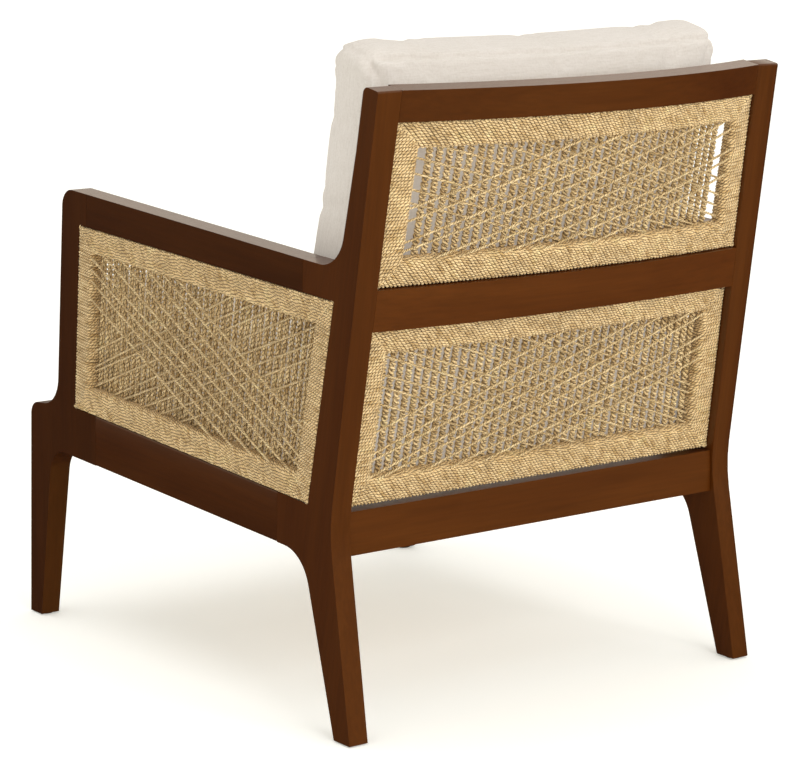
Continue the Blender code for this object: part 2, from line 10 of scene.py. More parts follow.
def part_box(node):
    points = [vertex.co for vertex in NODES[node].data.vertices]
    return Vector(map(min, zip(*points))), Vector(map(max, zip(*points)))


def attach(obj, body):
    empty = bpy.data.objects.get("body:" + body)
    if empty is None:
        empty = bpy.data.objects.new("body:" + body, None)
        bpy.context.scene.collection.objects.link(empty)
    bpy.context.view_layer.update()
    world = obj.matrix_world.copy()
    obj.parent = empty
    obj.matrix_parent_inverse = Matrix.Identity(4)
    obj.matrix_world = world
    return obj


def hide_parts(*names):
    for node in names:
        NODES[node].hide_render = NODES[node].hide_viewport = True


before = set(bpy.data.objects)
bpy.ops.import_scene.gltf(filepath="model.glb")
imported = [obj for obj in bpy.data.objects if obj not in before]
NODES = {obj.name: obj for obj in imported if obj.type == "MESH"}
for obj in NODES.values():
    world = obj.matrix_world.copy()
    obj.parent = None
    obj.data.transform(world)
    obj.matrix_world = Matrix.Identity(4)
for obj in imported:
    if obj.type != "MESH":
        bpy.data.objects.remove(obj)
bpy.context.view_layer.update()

# Wooden armchair with cord-wound side and back panels and two loose cushions.
# Metres, +Z up, the chair faces -Y and the sitter's left is +X, as in the CAD.

# ---------------------------------------------------------------- driving dimensions of the CAD
TOP_Z = 0.841               # height at which the width and the bow are stated
HALF_WIDTH_TOP = 0.3325     # outer face of the posts at TOP_Z
LEAN = 0.0133               # how much further out that face is at the floor
POST_T = 0.0365             # thickness of a post at POST_TOP_Z
POST_T_LOW = 0.030          # and at TAPER_Z
POST_TOP_Z = 0.8465
TAPER_Z = 0.250
KNEE_Y = 0.309              # rear face of the back where its rake starts
KNEE_Z = 0.2735
BACK_SLOPE = 0.1665         # run of the rake over its rise
BACK_HOLLOW = 0.001         # how hollow the raked face is at mid height
BOW_TOP = 0.058             # how far the back bows out in the middle at TOP_Z
BOW_START_Z = 0.262
BOW_POWER = 1.35
PANEL_PLAY = 0.0010         # gap between a panel and the wood round it
SIDE_PANEL_SET = -0.001     # how far the side panels sit in from the outer face: they stand proud
LOWER_PANEL_SET = 0.012     # how far the back panels sit in from the rear face
UPPER_PANEL_SET = 0.005
MEMBER_W = 0.036            # width of a wound batten
PANEL_DEPTH = 0.024
SIDE_OPENING = ((-0.328, 0.330), (0.260, 0.301), (0.314, 0.572), (-0.311, 0.597))
LOWER_BACK_ZS = (0.2960, 0.534)
UPPER_BACK_ZS = (0.588, 0.801)
BACK_RAKE = math.atan(0.237)    # lean of the back cushion
SEAT_SLOPE = -0.0455        # rise of the seat over its run towards the rear: it falls
ARM_GRAIN = (0, 1, -0.045)  # the arms and side rails fall towards the rear too

# ---------------------------------------------------------------- cord
CORD_R = 0.0021             # wound cord
CORD_SIDES = 8
TURN_PITCH = 0.0042
LAY = 0.0095                # one full twist of the cord's two plies
TWIST_SLACK = 0.0016        # how unevenly the plies are laid, step by step
MITRE_LAP = 0.0040          # how far the turns run past a mitre
EDGE_LAP = 0.0004           # how far the winding spreads over the eased edge of the wood
CROSS_SLANT = math.radians(40)
TURN_STRAY = 0.0003         # how far a turn wanders from its place

WEB_OVERLAP = 0.004         # how far the stretched cords run in under the winding
DIAGONAL_R = 0.0017
DIAGONAL_SIDES = 8
DIAGONAL_LOBES = 0.30       # how deep the groove between the plies is, as a share of the radius
DIAGONALS = 9               # cords in each of the two fans
DIAGONAL_PITCH = 0.0185
DIAGONAL_STRAY = 0.0028     # how far a cord lies from its even place
DIAGONAL_STEEPER = 1.16     # angle of the fans over the angle of the opening's own diagonal
DIAGONAL_SPREAD = 0.006     # turn from one cord of a fan to the next
DIAGONAL_SKEW = 0.020       # and how unevenly they are turned
DIAGONAL_DIP = 0.0005
SHORTEST_DIAGONAL = 0.03
TOP_FAN_DEPTH = 0.0034      # below the panel's outer skin
LOW_FAN_DEPTH = 0.0120

UPRIGHT_R = 0.0025
UPRIGHT_SIDES = 6
UPRIGHT_LOBES = 0.28
UPRIGHT_DEPTH = 0.0182
PAIR_PITCH = 0.0140
PAIR_TWIST = 0.0135         # one full turn of the two cords of a pair
PAIR_TWIST_SPREAD = 0.12
PAIR_ACROSS = 0.0028        # how far each cord swings from the middle of its pair
PAIR_DEEP = 0.0022
PAIR_STRAY = 0.0018         # unevenness of the spacing, as a share of the opening
WEB_FREE = 0.010            # bare width between the outermost pairs and the battens
UPPER_WEB_FREE = 0.026

# ---------------------------------------------------------------- cushions
SEAT_HALF = (0.298, 0.344, 0.0825)
SEAT_CROWN = 0.014          # how much thicker the middle is on each face
SEAT_CAP = 0.016            # how far the cloth may move
SEAT_ROUNDING = 0.024
SEAT_VOXEL = 0.0075
SEAT_CREASES = 2            # at each corner
SEAT_FLAT = -0.0945         # underside, where the seat rests on the slats
BACK_HALF = (0.288, 0.044, 0.2075)
BACK_CROWN = 0.016
BACK_CAP = 0.016
BACK_ROUNDING = 0.022
BACK_VOXEL = 0.006
BACK_CREASES = 3
BACK_BASE = (0.0, 0.1975, 0.4790)
PRESSURE = 4.0
CLOTH_STEPS = 20
SIDE_PULL = 0.003           # how far the sides draw in between the corners
SIDE_GIVE = 0.35            # share of the cloth's sideways movement that the filling allows
CORNER_EAR = 0.001          # how far the corners stand out
CORNER_PINCH = 0.30         # how much thinner they are
SEAM_SINK = 0.0022
SEAM_HALF_WIDTH = 0.0030
WELT_RISE = 0.0010          # fabric gathered up on both sides of a seam
WELT_OFF = 0.0070
WELT_HALF_WIDTH = 0.0038
CREASE_DEPTH = 0.0042
THREAD_PITCH = 0.0014       # two threads of the linen

# ---------------------------------------------------------------- camera and studio
CAMERA_AT = (2.4653, 3.3342, 1.1974)
CAMERA_YAW = math.radians(-126.52)
CAMERA_PITCH = math.radians(11.19)
SENSOR = 36.0
LENS = 133.55
FILL_AT = (0.2, 5.0, 2.3)
FILL_TOWARDS = (0, 0.2, 0.5)


def add_object(name, data):
    """A new object in the scene."""
    made = bpy.data.objects.new(name, data)
    bpy.context.scene.collection.objects.link(made)
    return made


def cord_piece(name, mesh, finish):
    """A piece of cord that moves with the frame."""
    made = add_object(name, mesh)
    made.data.materials.append(finish)
    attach(made, "frame")
    return made


def finish_mesh(bm, name):
    """A mesh from a bmesh, which is freed."""
    mesh = bpy.data.meshes.new(name)
    bm.to_mesh(mesh)
    bm.free()
    return mesh


# ================================================================ materials
def new_material(name):
    """A material, its node tree and its shader."""
    made = bpy.data.materials.new(name)
    made.use_nodes = True
    tree = made.node_tree
    shader = tree.nodes["Principled BSDF"]
    return made, tree, shader


def node(tree, kind, **settings):
    """A shader node with its settings."""
    made = tree.nodes.new(kind)
    for key, value in settings.items():
        setattr(made, key, value)
    return made


def link(tree, out, into):
    """An output joined to an input."""
    tree.links.new(out, into)


def maths(tree, operation, a, b=None):
    """A maths node; a and b are numbers or outputs."""
    made = node(tree, "ShaderNodeMath", operation=operation)
    for socket, value in zip(made.inputs, (a, b)):
        if value is None:
            continue
        if isinstance(value, (int, float)):
            socket.default_value = value
        else:
            link(tree, value, socket)
    return made.outputs[0]


def ramp(tree, fac, stops):
    """A colour ramp through (position, colour) stops."""
    made = node(tree, "ShaderNodeValToRGB")
    while len(made.color_ramp.elements) < len(stops):
        made.color_ramp.elements.new(0.5)
    for element, (at, colour) in zip(made.color_ramp.elements, stops):
        element.position = at
        element.color = (*colour, 1.0)
    link(tree, fac, made.inputs["Fac"])
    return made.outputs["Color"]


def noise(tree, vector, scale, detail, roughness):
    """Noise at a point, from 0 to 1."""
    made = node(tree, "ShaderNodeTexNoise")
    made.inputs["Scale"].default_value = scale
    made.inputs["Detail"].default_value = detail
    made.inputs["Roughness"].default_value = roughness
    link(tree, vector, made.inputs["Vector"])
    return made.outputs["Fac"]


def grain_space(tree, direction, across):
    """Object coordinates turned so that the grain runs along X, and scaled up across it."""
    coords = node(tree, "ShaderNodeTexCoord")
    turn = Vector((1, 0, 0)).rotation_difference(Vector(direction).normalized()).inverted()
    turned = node(tree, "ShaderNodeMapping")
    turned.inputs["Rotation"].default_value = turn.to_euler()
    link(tree, coords.outputs["Object"], turned.inputs["Vector"])
    scaled = node(tree, "ShaderNodeMapping")
    scaled.inputs["Scale"].default_value = (1.0, across, across)
    link(tree, turned.outputs["Vector"], scaled.inputs["Vector"])
    return scaled.outputs["Vector"]


def mix_colours(tree, fac, a, b, blend="MIX"):
    """Two colours mixed; each argument is a number, a colour or an output."""
    made = node(tree, "ShaderNodeMix", data_type="RGBA", blend_type=blend)
    for socket, value in ((made.inputs[0], fac), (made.inputs[6], a), (made.inputs[7], b)):
        if isinstance(value, (int, float)):
            socket.default_value = value
        elif isinstance(value, tuple):
            socket.default_value = (*value, 1.0)
        else:
            link(tree, value, socket)
    return made.outputs[2]


def bump(tree, height, strength, distance, shader):
    """Fine relief on a shader's normal."""
    made = node(tree, "ShaderNodeBump")
    made.inputs["Strength"].default_value = strength
    made.inputs["Distance"].default_value = distance
    link(tree, height, made.inputs["Height"])
    link(tree, made.outputs["Normal"], shader.inputs["Normal"])


def walnut(name, direction, tone_and_shade):
    """Oiled walnut with the grain along direction; the last argument is how light the board is,
    together with painted shade on parts seen mostly from the side and painted light on parts that
    face the rear.
    """
    made, tree, shader = new_material(name)
    figure = noise(tree, grain_space(tree, direction, 9.0), 2.6, 6.0, 0.6)
    streaks = noise(tree, grain_space(tree, direction, 26.0), 9.0, 5.0, 0.6)
    pores = noise(tree, grain_space(tree, direction, 34.0), 55.0, 3.0, 0.5)
    colour = ramp(tree, figure, (
        (0.30, (0.066 * tone_and_shade, 0.0152 * tone_and_shade, 0.0012 * tone_and_shade)),
        (0.52, (0.078 * tone_and_shade, 0.0190 * tone_and_shade, 0.0014 * tone_and_shade)),
        (0.75, (0.092 * tone_and_shade, 0.0238 * tone_and_shade, 0.0020 * tone_and_shade))))
    shade = ramp(tree, streaks, ((0.30, (0.80, 0.80, 0.80)), (0.62, (1.0, 1.0, 1.0))))
    link(tree, mix_colours(tree, 1.0, colour, shade, "MULTIPLY"), shader.inputs["Base Color"])
    gloss = ramp(tree, pores, ((0.25, (0.46, 0.46, 0.46)), (0.70, (0.30, 0.30, 0.30))))
    link(tree, gloss, shader.inputs["Roughness"])
    shader.inputs["Specular IOR Level"].default_value = 0.22
    shader.inputs["Specular Tint"].default_value = (1.0, 0.86, 0.62, 1.0)
    shader.inputs["Coat Weight"].default_value = 0.32
    shader.inputs["Coat Roughness"].default_value = 0.14
    bump(tree, pores, 0.15, 0.0005, shader)
    return made


def beech(name, direction, light=(0.52, 0.34, 0.18)):
    """Plain pale beech with short flecks; light is the colour of its palest grain."""
    made, tree, shader = new_material(name)
    figure = noise(tree, grain_space(tree, direction, 10.0), 3.0, 5.0, 0.6)
    flecks = noise(tree, grain_space(tree, direction, 12.0), 120.0, 2.0, 0.5)
    dark = tuple(0.66 * c for c in light)
    colour = ramp(tree, figure, ((0.30, dark), (0.70, light)))
    shade = ramp(tree, flecks, ((0.30, (0.72, 0.68, 0.62)), (0.45, (1.0, 1.0, 1.0))))
    link(tree, mix_colours(tree, 1.0, colour, shade, "MULTIPLY"), shader.inputs["Base Color"])
    shader.inputs["Roughness"].default_value = 0.55
    bump(tree, flecks, 0.15, 0.0005, shader)
    return made


def cord_material(name, tint):
    """Twisted straw cord with painted shade in the groove between its plies: the UV runs along the
    cord in metres and once round it.
    """
    made, tree, shader = new_material(name)
    uv = node(tree, "ShaderNodeUVMap", uv_map="cord")
    parts = node(tree, "ShaderNodeSeparateXYZ")
    link(tree, uv.outputs["UV"], parts.inputs["Vector"])
    along = maths(tree, "MULTIPLY", parts.outputs["X"], 1.0 / LAY)
    turn = maths(tree, "MULTIPLY", maths(tree, "ADD", along, parts.outputs["Y"]), 2.0 * math.pi)
    ply = maths(tree, "ABSOLUTE", maths(tree, "SINE", turn))
    coords = node(tree, "ShaderNodeTexCoord")
    patches = noise(tree, coords.outputs["Object"], 38.0, 4.0, 0.6)
    lengthwise = node(tree, "ShaderNodeCombineXYZ")
    link(tree, parts.outputs["X"], lengthwise.inputs["X"])
    lengths = noise(tree, lengthwise.outputs["Vector"], 34.0, 2.0, 0.6)
    fibres = noise(tree, coords.outputs["Object"], 900.0, 2.0, 0.6)
    straw = ramp(tree, patches, (
        (0.28, tuple(c * 0.80 for c in tint)), (0.55, tint),
        (0.78, tuple(min(1.0, c * 1.10) for c in tint))))
    # Painted shade: the straw colour is darkened to deep brown in the groove between the two plies,
    # where shade falls.
    painted_groove_shade = ramp(tree, ply, ((0.04, (0.11, 0.055, 0.015)), (0.60, (1.0, 1.0, 1.0))))
    dusk = ramp(tree, fibres, ((0.34, (0.66, 0.60, 0.50)), (0.56, (1.0, 1.0, 1.0))))
    aged = ramp(tree, lengths, ((0.36, (0.66, 0.58, 0.44)), (0.56, (1.0, 1.0, 1.0))))
    colour = mix_colours(tree, 1.0, straw, painted_groove_shade, "MULTIPLY")
    colour = mix_colours(tree, 1.0, colour, aged, "MULTIPLY")
    colour = mix_colours(tree, 1.0, colour, dusk, "MULTIPLY")
    link(tree, colour, shader.inputs["Base Color"])
    shader.inputs["Roughness"].default_value = 0.62
    shader.inputs["Sheen Weight"].default_value = 0.12
    height = maths(tree, "ADD", ply, maths(tree, "MULTIPLY", fibres, 0.5))
    bump(tree, height, 1.0, 0.0010, shader)
    return made


def nylon(name):
    """Dark nylon of the foot glides."""
    made, tree, shader = new_material(name)
    coords = node(tree, "ShaderNodeTexCoord")
    grit = noise(tree, coords.outputs["Object"], 700.0, 3.0, 0.5)
    link(tree, ramp(tree, grit, (
        (0.3, (0.030, 0.028, 0.026)), (0.7, (0.055, 0.052, 0.048)))), shader.inputs["Base Color"])
    shader.inputs["Roughness"].default_value = 0.6
    bump(tree, grit, 0.2, 0.0002, shader)
    return made


# ================================================================ CAD nodes that keep their shape
WALNUT_TONES_AND_SHADE = (            # start of a node's name, grain direction, lightness of the board and painted shade
    # Partly the boards' own tone and partly painted light: the arms, front legs and side rails are
    # darkened as painted shade on their side faces, which turn from the lamps. The mid and rear seat
    # rails are lightened as painted light on their lit rear faces.
    ("rear_leg", (0.0, math.sin(math.atan(BACK_SLOPE)), 1.0), 0.95),
    ("front_leg", (0, 0, 1), 0.68),
    ("arm_", ARM_GRAIN, 0.68),
    ("side_rail", ARM_GRAIN, 0.84),
    ("crest_rail", (1, 0, 0), 0.92),
    ("mid_rail", (1, 0, 0), 1.12),
    ("rear_seat_rail", (1, 0, 0), 1.05),
    ("front_seat_rail", (1, 0, 0), 1.0),
)


def finish_for(name):
    """The material of a CAD node that shows, or None for one that is replaced."""
    for start, grain, tone_and_shade in WALNUT_TONES_AND_SHADE:
        if name.startswith(start):
            return walnut(name + "_walnut", grain, tone_and_shade)
    if name.startswith("slat_cleat"):
        return beech(name + "_beech", (0, 1, 0))
    if name.startswith(("seat_slat", "corner_block")):
        return beech(name + "_beech", (1, 0, 0))
    if name.endswith("batten_frame"):
        return beech(name + "_beech", (1, 0, 0), (0.66, 0.44, 0.20))
    if name.startswith("foot_glide"):
        return nylon(name + "_nylon")
    return None


def dress_nodes():
    """Materials and crisp, smooth-shaded edges for the nodes that show as they are."""
    for name, obj in NODES.items():
        finish = finish_for(name)
        if finish is None:
            continue
        for k in range(len(obj.material_slots)):
            obj.material_slots[k].material = finish
        if "custom_normal" in obj.data.attributes:
            obj.data.attributes.remove(obj.data.attributes["custom_normal"])
        obj.data.shade_smooth()
        obj.data.set_sharp_from_angle(angle=math.radians(180.0))
        weld = obj.modifiers.new("weld", "WELD")
        weld.merge_threshold = 0.00001
        split = obj.modifiers.new("split", "EDGE_SPLIT")
        split.split_angle = math.radians(28.0)


# ================================================================ panel surfaces
def outer_x(z):
    """Outer face of the sides at a height."""
    return HALF_WIDTH_TOP + LEAN * (TOP_Z - z) / TOP_Z


def inner_x(z):
    """Inner face of a post at a height."""
    rise = (z - TAPER_Z) / (POST_TOP_Z - TAPER_Z)
    return outer_x(z) - POST_T_LOW - (POST_T - POST_T_LOW) * rise


def back_y(z):
    """Rear face of the posts at a height."""
    t = (z - KNEE_Z) / (TOP_Z - KNEE_Z)
    return KNEE_Y + BACK_SLOPE * (z - KNEE_Z) - BACK_HOLLOW * 4.0 * t * (1.0 - t)


def bow(z):
    """How far the middle of the back stands behind the posts at a height."""
    rise = max(0.0, (z - BOW_START_Z) / (TOP_Z - BOW_START_Z))
    return BOW_TOP * rise ** BOW_POWER


def side_surface(side):
    """Flat (y, z) and a depth from the outer skin, to a point in the chair."""
    def at(flat, depth):
        y, z = flat
        return Vector((side * (outer_x(z) - SIDE_PANEL_SET - depth), y, z))
    return at


def back_surface(setback):
    """Flat (x, z) and a depth from the rear skin, to a point in the chair."""
    tilt = math.atan(BACK_SLOPE)

    def at(flat, depth):
        x, z = flat
        across = x / inner_x(z)
        y = back_y(z) + bow(z) * (1.0 - across * across)
        d = depth + setback
        up = z + d * math.sin(tilt)
        return Vector((x * inner_x(up) / inner_x(z), y - d * math.cos(tilt), up))
    return at


def shrink(quad, width):
    """A four-sided outline with every side moved in by width, or out if it is negative."""
    inset = []
    for i, corner in enumerate(quad):
        here = Vector(corner)
        back = (Vector(quad[i - 1]) - here).normalized()
        ahead = (Vector(quad[(i + 1) % 4]) - here).normalized()
        inset.append(here + (back + ahead) * width / math.sin(back.angle(ahead)))
    return inset


def back_opening(low, high):
    """Outline of a back panel as (x, z), between two heights."""
    quad = [(-inner_x(low), low), (inner_x(low), low), (inner_x(high), high), (-inner_x(high), high)]
    return shrink(quad, PANEL_PLAY)


# ================================================================ cord winding
SECTION_CORNERS = (         # across, depth, where the arc starts, radius of the winding's skin
    (0, 0, 180, 0.0027),
    (1, 0, 270, 0.0085),
    (1, 1, 0, 0.0085),
    (0, 1, 90, 0.0050),
)
ARC_POINTS = 5
FLAT_POINTS = 4


def section_path(inset):
    """Points round a wound batten as (across, depth), and the length up to each."""
    corners = []
    for across, deep, start, skin in SECTION_CORNERS:
        a = MEMBER_W - skin if across else skin - EDGE_LAP
        d = PANEL_DEPTH - skin if deep else skin
        corners.append([
            (a + (skin - inset) * math.cos(math.radians(start + 90.0 * k / (ARC_POINTS - 1))),
             d + (skin - inset) * math.sin(math.radians(start + 90.0 * k / (ARC_POINTS - 1))))
            for k in range(ARC_POINTS)])
    points = []
    for arc, ahead in zip(corners, corners[1:] + corners[:1]):
        points += arc
        here, there = arc[-1], ahead[0]
        for k in range(1, FLAT_POINTS):
            t = k / FLAT_POINTS
            points.append((here[0] + (there[0] - here[0]) * t, here[1] + (there[1] - here[1]) * t))
    lengths = [0.0]
    for p, q in zip(points, points[1:] + points[:1]):
        lengths.append(lengths[-1] + math.dist(p, q))
    return points, lengths


def tube(bm, uv_layer, path, normals, radius, sides, start, lobes=0.0):
    """A round cord along a path; lobes makes its two plies stand out as they twist.

    start and the value returned are how far along the cord the path begins and ends.
    """
    rings = []
    along = start
    slack = random.Random(round(start * 1e6))
    count = len(path)
    for k in range(count):
        ahead = path[min(k + 1, count - 1)] - path[max(k - 1, 0)]
        ahead.normalize()
        side = ahead.cross(normals[k]).normalized()
        up = side.cross(ahead)
        if k:
            along += (path[k] - path[k - 1]).length + slack.uniform(-TWIST_SLACK, TWIST_SLACK)
        twist = 2.0 * math.pi * along / LAY
        ring = []
        for s in range(sides):
            angle = 2.0 * math.pi * s / sides
            r = radius
            if lobes:
                r *= 1.0 - lobes + lobes * abs(math.cos(angle - twist))
            ring.append(bm.verts.new(path[k] + (up * math.cos(angle) + side * math.sin(angle)) * r))
        rings.append((ring, along))
    for (low, u0), (high, u1) in zip(rings, rings[1:]):
        for s in range(sides):
            n = (s + 1) % sides
            face = bm.faces.new((low[s], low[n], high[n], high[s]))
            face.smooth = True
            v0, v1 = s / sides, (s + 1) / sides
            for loop, uv in zip(face.loops, ((u0, v0), (u0, v1), (u1, v1), (u1, v0))):
                loop[uv_layer].uv = uv
    for ring, flip in ((rings[0][0], True), (rings[-1][0], False)):
        face = bm.faces.new(ring[::-1] if flip else ring)
        face.smooth = True
    return along


def winding(name, at, outer, inner, i, slant, finish, rng):
    """Cord wound round side i of a panel, mitred against its neighbours.

    slant is 0 for turns square to the batten, or 1 or -1 for the way that they lean.
    """
    begin, end = outer[i], outer[(i + 1) % 4]
    length = (end - begin).length
    e = (end - begin) / length
    m = Vector((-e.y, e.x))
    skew0 = (inner[i] - begin).dot(e) / MEMBER_W
    skew1 = (inner[(i + 1) % 4] - end).dot(e) / MEMBER_W
    points, lengths = section_path(CORD_R)
    girth = lengths[-1]
    # starts is how many cords are wound side by side, lead how far one turn takes a cord along
    starts = 1
    lead = TURN_PITCH
    if slant:
        starts = round(girth * math.tan(CROSS_SLANT) * math.cos(CROSS_SLANT) / TURN_PITCH)
        lead = slant * starts * TURN_PITCH / math.cos(CROSS_SLANT)
    spacing = abs(lead) / starts
    bm = bmesh.new()
    uv_layer = bm.loops.layers.uv.new("cord")
    count = len(points)
    turns = math.ceil((length + abs(lead)) / abs(lead)) + 1

    def spot(s, k):
        """Distance along the batten, place on its section and room left before a mitre."""
        turn, step = divmod(k, count)
        across, deep = points[step]
        u = s * spacing + lead * (turn + lengths[step] / girth) + (length if lead < 0.0 else 0.0)
        low, high = across * skew0 - MITRE_LAP, length + across * skew1 + MITRE_LAP
        return np.array((u, across, deep, min(u - low, high - u)))

    def place(s, k, u, across, deep):
        """Point of the cord's middle line and the way out from the batten there."""
        wobble = TURN_STRAY * math.sin(u * 311.0 + 1.7 * s) * math.sin(u * 47.0 + across * 60.0)
        sway = TURN_STRAY * math.sin(k / count * 2.4 + s * 5.1 + u * 23.0)
        on = at(begin + e * (u + wobble) + m * across, deep + sway)
        middle = at(begin + e * u + m * (MEMBER_W / 2.0), PANEL_DEPTH / 2.0)
        return on, (on - middle).normalized()

    for s in range(starts):
        path = []
        along = rng.random()
        before = spot(s, -count - 1)
        total = turns * count
        for k in range(-count, total + 1):
            here = spot(s, k)
            if (here[3] > 0.0) != (before[3] > 0.0):
                share = before[3] / (before[3] - here[3])
                crossing = before + (here - before) * share
                path.append(place(s, k, *crossing[:3]))
            if here[3] > 0.0:
                path.append(place(s, k, *here[:3]))
            if path and (here[3] <= 0.0 or k == total):
                if len(path) > 2:
                    spots, normals = zip(*path)
                    along = tube(bm, uv_layer, spots, normals, CORD_R, CORD_SIDES, along)
                path = []
            before = here
    return cord_piece(name, finish_mesh(bm, name), finish)


def panel_list():
    """Name, surface, outline, names of the sides and slants of their turns, panel by panel."""
    panels = []
    for side, word in ((1, "left"), (-1, "right")):
        outer = shrink(SIDE_OPENING, PANEL_PLAY)
        names = ("bottom", "rear", "top", "front")
        panels.append((word + "_panel", side_surface(side), outer, names, (-1, 0, -1, 0)))
    for name, zs, setback in (
            ("lower_back_panel", LOWER_BACK_ZS, LOWER_PANEL_SET),
            ("upper_back_panel", UPPER_BACK_ZS, UPPER_PANEL_SET)):
        names = ("bottom", "left", "top", "right")
        panels.append((name, back_surface(setback), back_opening(*zs), names, (1, 0, 1, 0)))
    return panels


def make_panels():
    """The windings and webs of the four panels, in place of the plain CAD nodes."""
    straw = cord_material("wound_cord", (1.0, 0.75, 0.40))
    strand = cord_material("stretched_cord", (1.0, 0.77, 0.42))
    rng = random.Random(7)
    for name, at, outer, names, slants in panel_list():
        inner = shrink(outer, MEMBER_W)
        for i, word in enumerate(names):
            piece = winding(
                "%s_winding_%s" % (name, word), at, outer, inner, i, slants[i], straw, rng)
            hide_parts("%s_binding_%s" % (name, word))
        piece = diagonal_web(name + "_diagonals", at, inner, strand, rng)
        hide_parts(name + "_diagonal_web")
        free = UPPER_WEB_FREE if name.startswith("upper") else WEB_FREE
        piece = upright_web(name + "_uprights", at, inner, free, strand, rng)
        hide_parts(name + "_upright_web")


# ================================================================ stretched cord webs
def clip_line(quad, point, direction):
    """Stretch of an endless line inside a convex outline, as two distances."""
    low, high = -9.0, 9.0
    for a, b in zip(quad, quad[1:] + quad[:1]):
        edge = b - a
        inward = Vector((-edge.y, edge.x))
        rate = inward.dot(direction)
        start = inward.dot(point - a)
        if abs(rate) < 1e-12:
            continue
        if rate > 0.0:
            low = max(low, -start / rate)
        else:
            high = min(high, -start / rate)
    return low, high


def outward(at, flat):
    """The way out from a panel at a flat point."""
    return at(flat, 0.0) - at(flat, 0.01)


def stretched(bm, uv_layer, at, line, depths, rng):
    """One two-ply cord between two flat points, following the panel's curve."""
    (a, b), (d0, d1) = line, depths
    count = max(3, round((b - a).length / (LAY / 8.0)))
    path = [at(a.lerp(b, k / count), d0 + (d1 - d0) * k / count) for k in range(count + 1)]
    normals = [outward(at, a)] * len(path)
    tube(bm, uv_layer, path, normals, DIAGONAL_R, DIAGONAL_SIDES, rng.random(), DIAGONAL_LOBES)


def diagonal_web(name, at, inner, finish, rng):
    """Two fans of cords that cross in front of the opening."""
    bm = bmesh.new()
    uv_layer = bm.loops.layers.uv.new("cord")
    reach = shrink(inner, -WEB_OVERLAP)
    centre = sum(inner, Vector((0.0, 0.0))) / 4.0
    base = (inner[1] - inner[0]).normalized()
    lean = math.atan2(base.y, base.x)
    height = (inner[3] - inner[0]).length
    width = (inner[1] - inner[0]).length
    angle = math.atan2(height, width) * DIAGONAL_STEEPER
    for sign, depth in ((1, LOW_FAN_DEPTH), (-1, TOP_FAN_DEPTH)):
        for k in range(DIAGONALS):
            rank = k - (DIAGONALS - 1) / 2.0
            skew = rng.uniform(-DIAGONAL_SKEW, DIAGONAL_SKEW)
            turn = lean + sign * (angle + skew + DIAGONAL_SPREAD * rank)
            direction = Vector((math.cos(turn), math.sin(turn)))
            normal = Vector((-direction.y, direction.x))
            offset = rank * DIAGONAL_PITCH + rng.uniform(-DIAGONAL_STRAY, DIAGONAL_STRAY)
            point = centre + normal * offset
            low, high = clip_line(reach, point, direction)
            if high - low < SHORTEST_DIAGONAL:
                continue
            line = (point + direction * low, point + direction * high)
            dip = rng.uniform(-DIAGONAL_DIP, DIAGONAL_DIP)
            stretched(bm, uv_layer, at, line, (depth + dip, depth - dip), rng)
    return cord_piece(name, finish_mesh(bm, name), finish)


def upright_web(name, at, inner, free, finish, rng):
    """Pairs of upright cords twisted round each other, behind the diagonals."""
    bm = bmesh.new()
    uv_layer = bm.loops.layers.uv.new("cord")
    reach = shrink(inner, -WEB_OVERLAP)
    base = (reach[1] - reach[0]).normalized()
    width = (inner[1] - inner[0]).length
    bare = free / width
    count = round(width * (1.0 - 2.0 * bare) / PAIR_PITCH)
    for k in range(count + 1):
        s = bare + (1.0 - 2.0 * bare) * k / count
        foot = reach[0].lerp(reach[1], s + rng.uniform(-PAIR_STRAY, PAIR_STRAY))
        head = reach[3].lerp(reach[2], s + rng.uniform(-PAIR_STRAY, PAIR_STRAY))
        length = (head - foot).length
        steps = round(length / (PAIR_TWIST / 10.0))
        phase = rng.random() * 2.0 * math.pi
        pitch = PAIR_TWIST * rng.uniform(1.0 - PAIR_TWIST_SPREAD, 1.0 + PAIR_TWIST_SPREAD)
        normals = [outward(at, foot)] * (steps + 1)
        for half in (0.0, math.pi):
            path = []
            for j in range(steps + 1):
                t = j / steps
                turn = phase + half + 2.0 * math.pi * length * t / pitch
                flat = foot.lerp(head, t) + base * (PAIR_ACROSS * math.cos(turn))
                path.append(at(flat, UPRIGHT_DEPTH + PAIR_DEEP * math.sin(turn)))
            tube(bm, uv_layer, path, normals, UPRIGHT_R, UPRIGHT_SIDES, rng.random(), UPRIGHT_LOBES)
    return cord_piece(name, finish_mesh(bm, name), finish)


